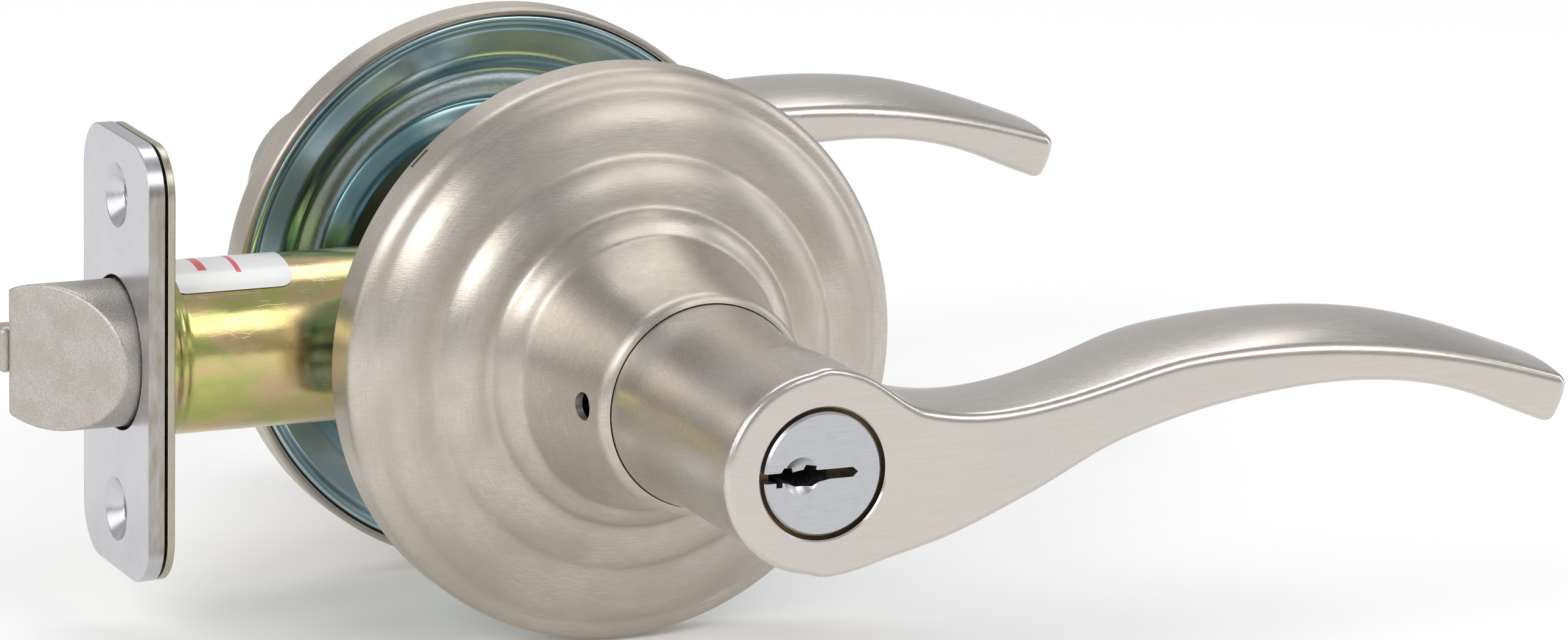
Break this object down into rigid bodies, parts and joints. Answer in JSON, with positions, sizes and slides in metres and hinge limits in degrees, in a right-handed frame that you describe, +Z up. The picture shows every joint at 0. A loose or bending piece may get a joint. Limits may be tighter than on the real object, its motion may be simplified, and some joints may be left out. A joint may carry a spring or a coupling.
{
  "type": "keyed lever lockset",
  "caption": "Keyed wave-lever lockset with stepped round roses and a tubular spring latch, set up as in its door.",
  "frame": {"origin": "where the spindle axis crosses the latch axis, in the middle of the door's thickness", "axes": "+Z up; Y through the door with the keyed exterior side at -Y; +X towards the hinge side, so the latch bolt points -X and both levers point +X"},
  "size_m": [0.1764, 0.1741, 0.0752],
  "materials": {
    "lever_nickel": "satin nickel plating, brushed along the lever",
    "rose_nickel": "satin nickel plating, finely scratched",
    "plate_nickel": "smooth satin nickel plating, worn at its edges",
    "plug_nickel": "nickel-plated brass, brushed across",
    "bolt_steel": "sintered steel, satin plated, faintly grainy",
    "latch_zinc": "yellow zinc dichromate with a faint green and pink cast",
    "liner_zinc": "blue-white zinc plating, bright and slightly grainy",
    "inner_steel": "clear zinc plated steel",
    "spring_steel": "oiled spring steel",
    "cylinder_brass": "machined brass",
    "label_film": "white film, printed plain"
  },
  "bodies": {
    "case": {"exterior_rose": "rose_nickel", "interior_rose": "rose_nickel", "exterior_liner": "liner_zinc", "interior_liner": "liner_zinc", "exterior_spring_cage": "liner_zinc", "interior_spring_cage": "liner_zinc", "exterior_return_spring": "spring_steel", "interior_return_spring": "spring_steel", "through_bolt_posts": "inner_steel", "through_bolts": "inner_steel", "latch_front_plate": "plate_nickel", "latch_back_plate": "latch_zinc", "latch_tube": "latch_zinc", "spring_seat": "inner_steel", "bolt_spring": "spring_steel", "plunger_spring": "spring_steel", "latch_label": "label_film", "latch_case": "latch_zinc"},
    "exterior_handle": {"exterior_lever": "lever_nickel", "exterior_spindle": "inner_steel", "exterior_snap_ring": "spring_steel", "exterior_lever_catch": "inner_steel", "cylinder_shell": "cylinder_brass", "pin_cover": "cylinder_brass", "driver_pins": "cylinder_brass", "pin_springs": "spring_steel"},
    "interior_handle": {"interior_lever": "lever_nickel", "interior_spindle": "inner_steel", "interior_snap_ring": "spring_steel", "interior_lever_catch": "inner_steel"},
    "cam": {"drive_tube": "inner_steel", "latch_cam": "inner_steel"},
    "bolt": {"latch_bolt": "bolt_steel", "bolt_tail": "inner_steel", "retractor": "inner_steel"},
    "plunger": {"deadlatch_plunger": "bolt_steel"},
    "plug": {"key_plug": "plug_nickel", "key_pins": "cylinder_brass", "plug_clip": "spring_steel", "tailpiece": "inner_steel"},
    "turn": {"turn_button": "lever_nickel", "turn_bar": "inner_steel"}
  },
  "joints": [
    {"name": "exterior_lever_turn", "type": "hinge", "parent": "case", "child": "exterior_handle", "pos_m": [0, 0, 0], "axis": [0, 1, 0], "range_deg": [0, 50], "stiffness_Nm_per_rad": 0.9, "springref_deg": -34.38},
    {"name": "interior_lever_turn", "type": "hinge", "parent": "case", "child": "interior_handle", "pos_m": [0, 0, 0], "axis": [0, 1, 0], "range_deg": [0, 50]},
    {"name": "cam_turn", "type": "hinge", "parent": "case", "child": "cam", "pos_m": [0, 0, 0], "axis": [0, 1, 0], "range_deg": [0, 50]},
    {"name": "bolt_slide", "type": "slide", "parent": "case", "child": "bolt", "axis": [1, 0, 0], "range_m": [0, 0.0127], "deforming": ["bolt_spring"]},
    {"name": "plunger_slide", "type": "slide", "parent": "case", "child": "plunger", "axis": [1, 0, 0], "range_m": [0, 0.0127], "stiffness_N_per_m": 60, "springref_m": -0.01, "deforming": ["plunger_spring"]},
    {"name": "plug_turn", "type": "hinge", "parent": "exterior_handle", "child": "plug", "pos_m": [0, 0, 0], "axis": [0, 1, 0], "range_deg": [-90, 90]},
    {"name": "button_turn", "type": "hinge", "parent": "interior_handle", "child": "turn", "pos_m": [0, 0, 0], "axis": [0, 1, 0], "range_deg": [0, 90]}
  ],
  "couplings": [
    {"joint": "interior_lever_turn", "follows": "exterior_lever_turn", "ratio": 1},
    {"joint": "cam_turn", "follows": "exterior_lever_turn", "ratio": 1},
    {"joint": "bolt_slide", "follows": "exterior_lever_turn", "m_per_rad": 0.014553}
  ]
}
